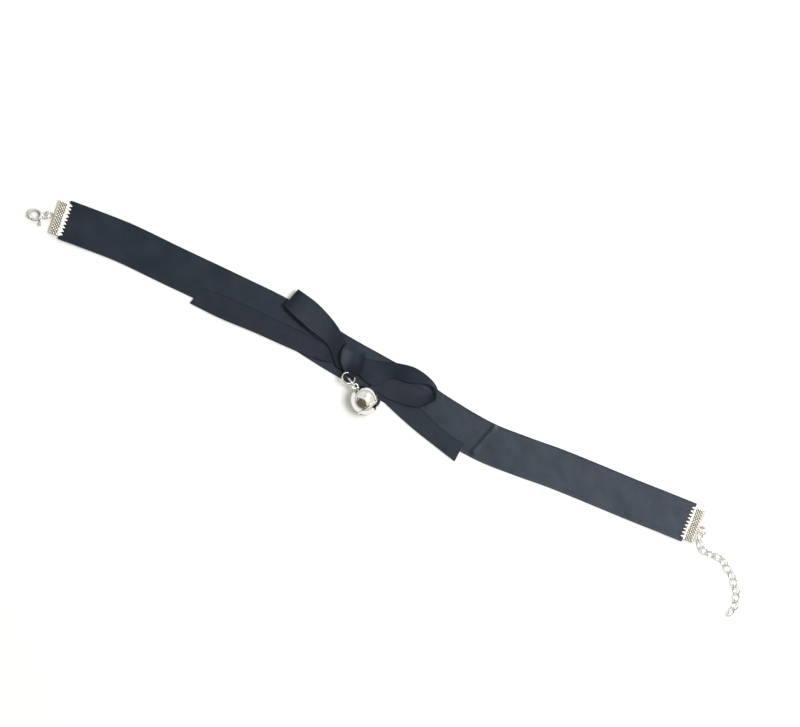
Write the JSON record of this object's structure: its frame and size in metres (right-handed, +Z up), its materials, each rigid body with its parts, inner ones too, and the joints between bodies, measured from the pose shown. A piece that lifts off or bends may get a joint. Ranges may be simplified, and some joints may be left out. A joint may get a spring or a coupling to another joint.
{
  "type": "ribbon choker necklace",
  "caption": "Satin ribbon choker laid open, with a ribbon bow, a jingle bell, toothed crimps, a lobster clasp and an extender chain",
  "frame": {"origin": "middle of the choker's outline, on the flat surface that it lies on", "axes": "+X along the band from the clasp to the extender chain, +Y across the band away from the bell, +Z up from the surface"},
  "size_m": [0.3992, 0.0528, 0.0142],
  "materials": {
    "black_satin": "satin",
    "silver_plate": "polished",
    "bell_plate": "polished"
  },
  "bodies": {
    "choker": {"band_ribbon": "black_satin", "bow_loop_left": "black_satin", "bow_loop_right": "black_satin", "bow_tail_left": "black_satin", "bow_tail_right": "black_satin", "bow_knot": "black_satin", "bell_top": "bell_plate", "bell_bottom": "bell_plate", "bell_ball": "silver_plate", "bell_ring_knot": "silver_plate", "bell_ring_eye": "silver_plate", "crimp_left": "silver_plate", "clasp_ring": "silver_plate", "clasp_body": "silver_plate", "crimp_right": "silver_plate", "chain_ring": "silver_plate", "chain_link_01": "silver_plate", "chain_link_02": "silver_plate", "chain_link_03": "silver_plate", "chain_link_04": "silver_plate", "chain_link_05": "silver_plate", "chain_link_06": "silver_plate", "chain_link_07": "silver_plate", "chain_link_08": "silver_plate", "chain_link_09": "silver_plate", "chain_link_10": "silver_plate", "chain_link_11": "silver_plate", "chain_link_12": "silver_plate", "chain_link_13": "silver_plate"},
    "lever": {"clasp_lever": "silver_plate"}
  },
  "joints": [
    {"name": "clasp_lever_hinge", "type": "hinge", "parent": "choker", "child": "lever", "pos_m": [-0.19291, 0.00236, 0.0011], "axis": [0, 0, -1], "range_deg": [0, 25], "stiffness_Nm_per_rad": 0.01, "springref_deg": -8.59}
  ]
}
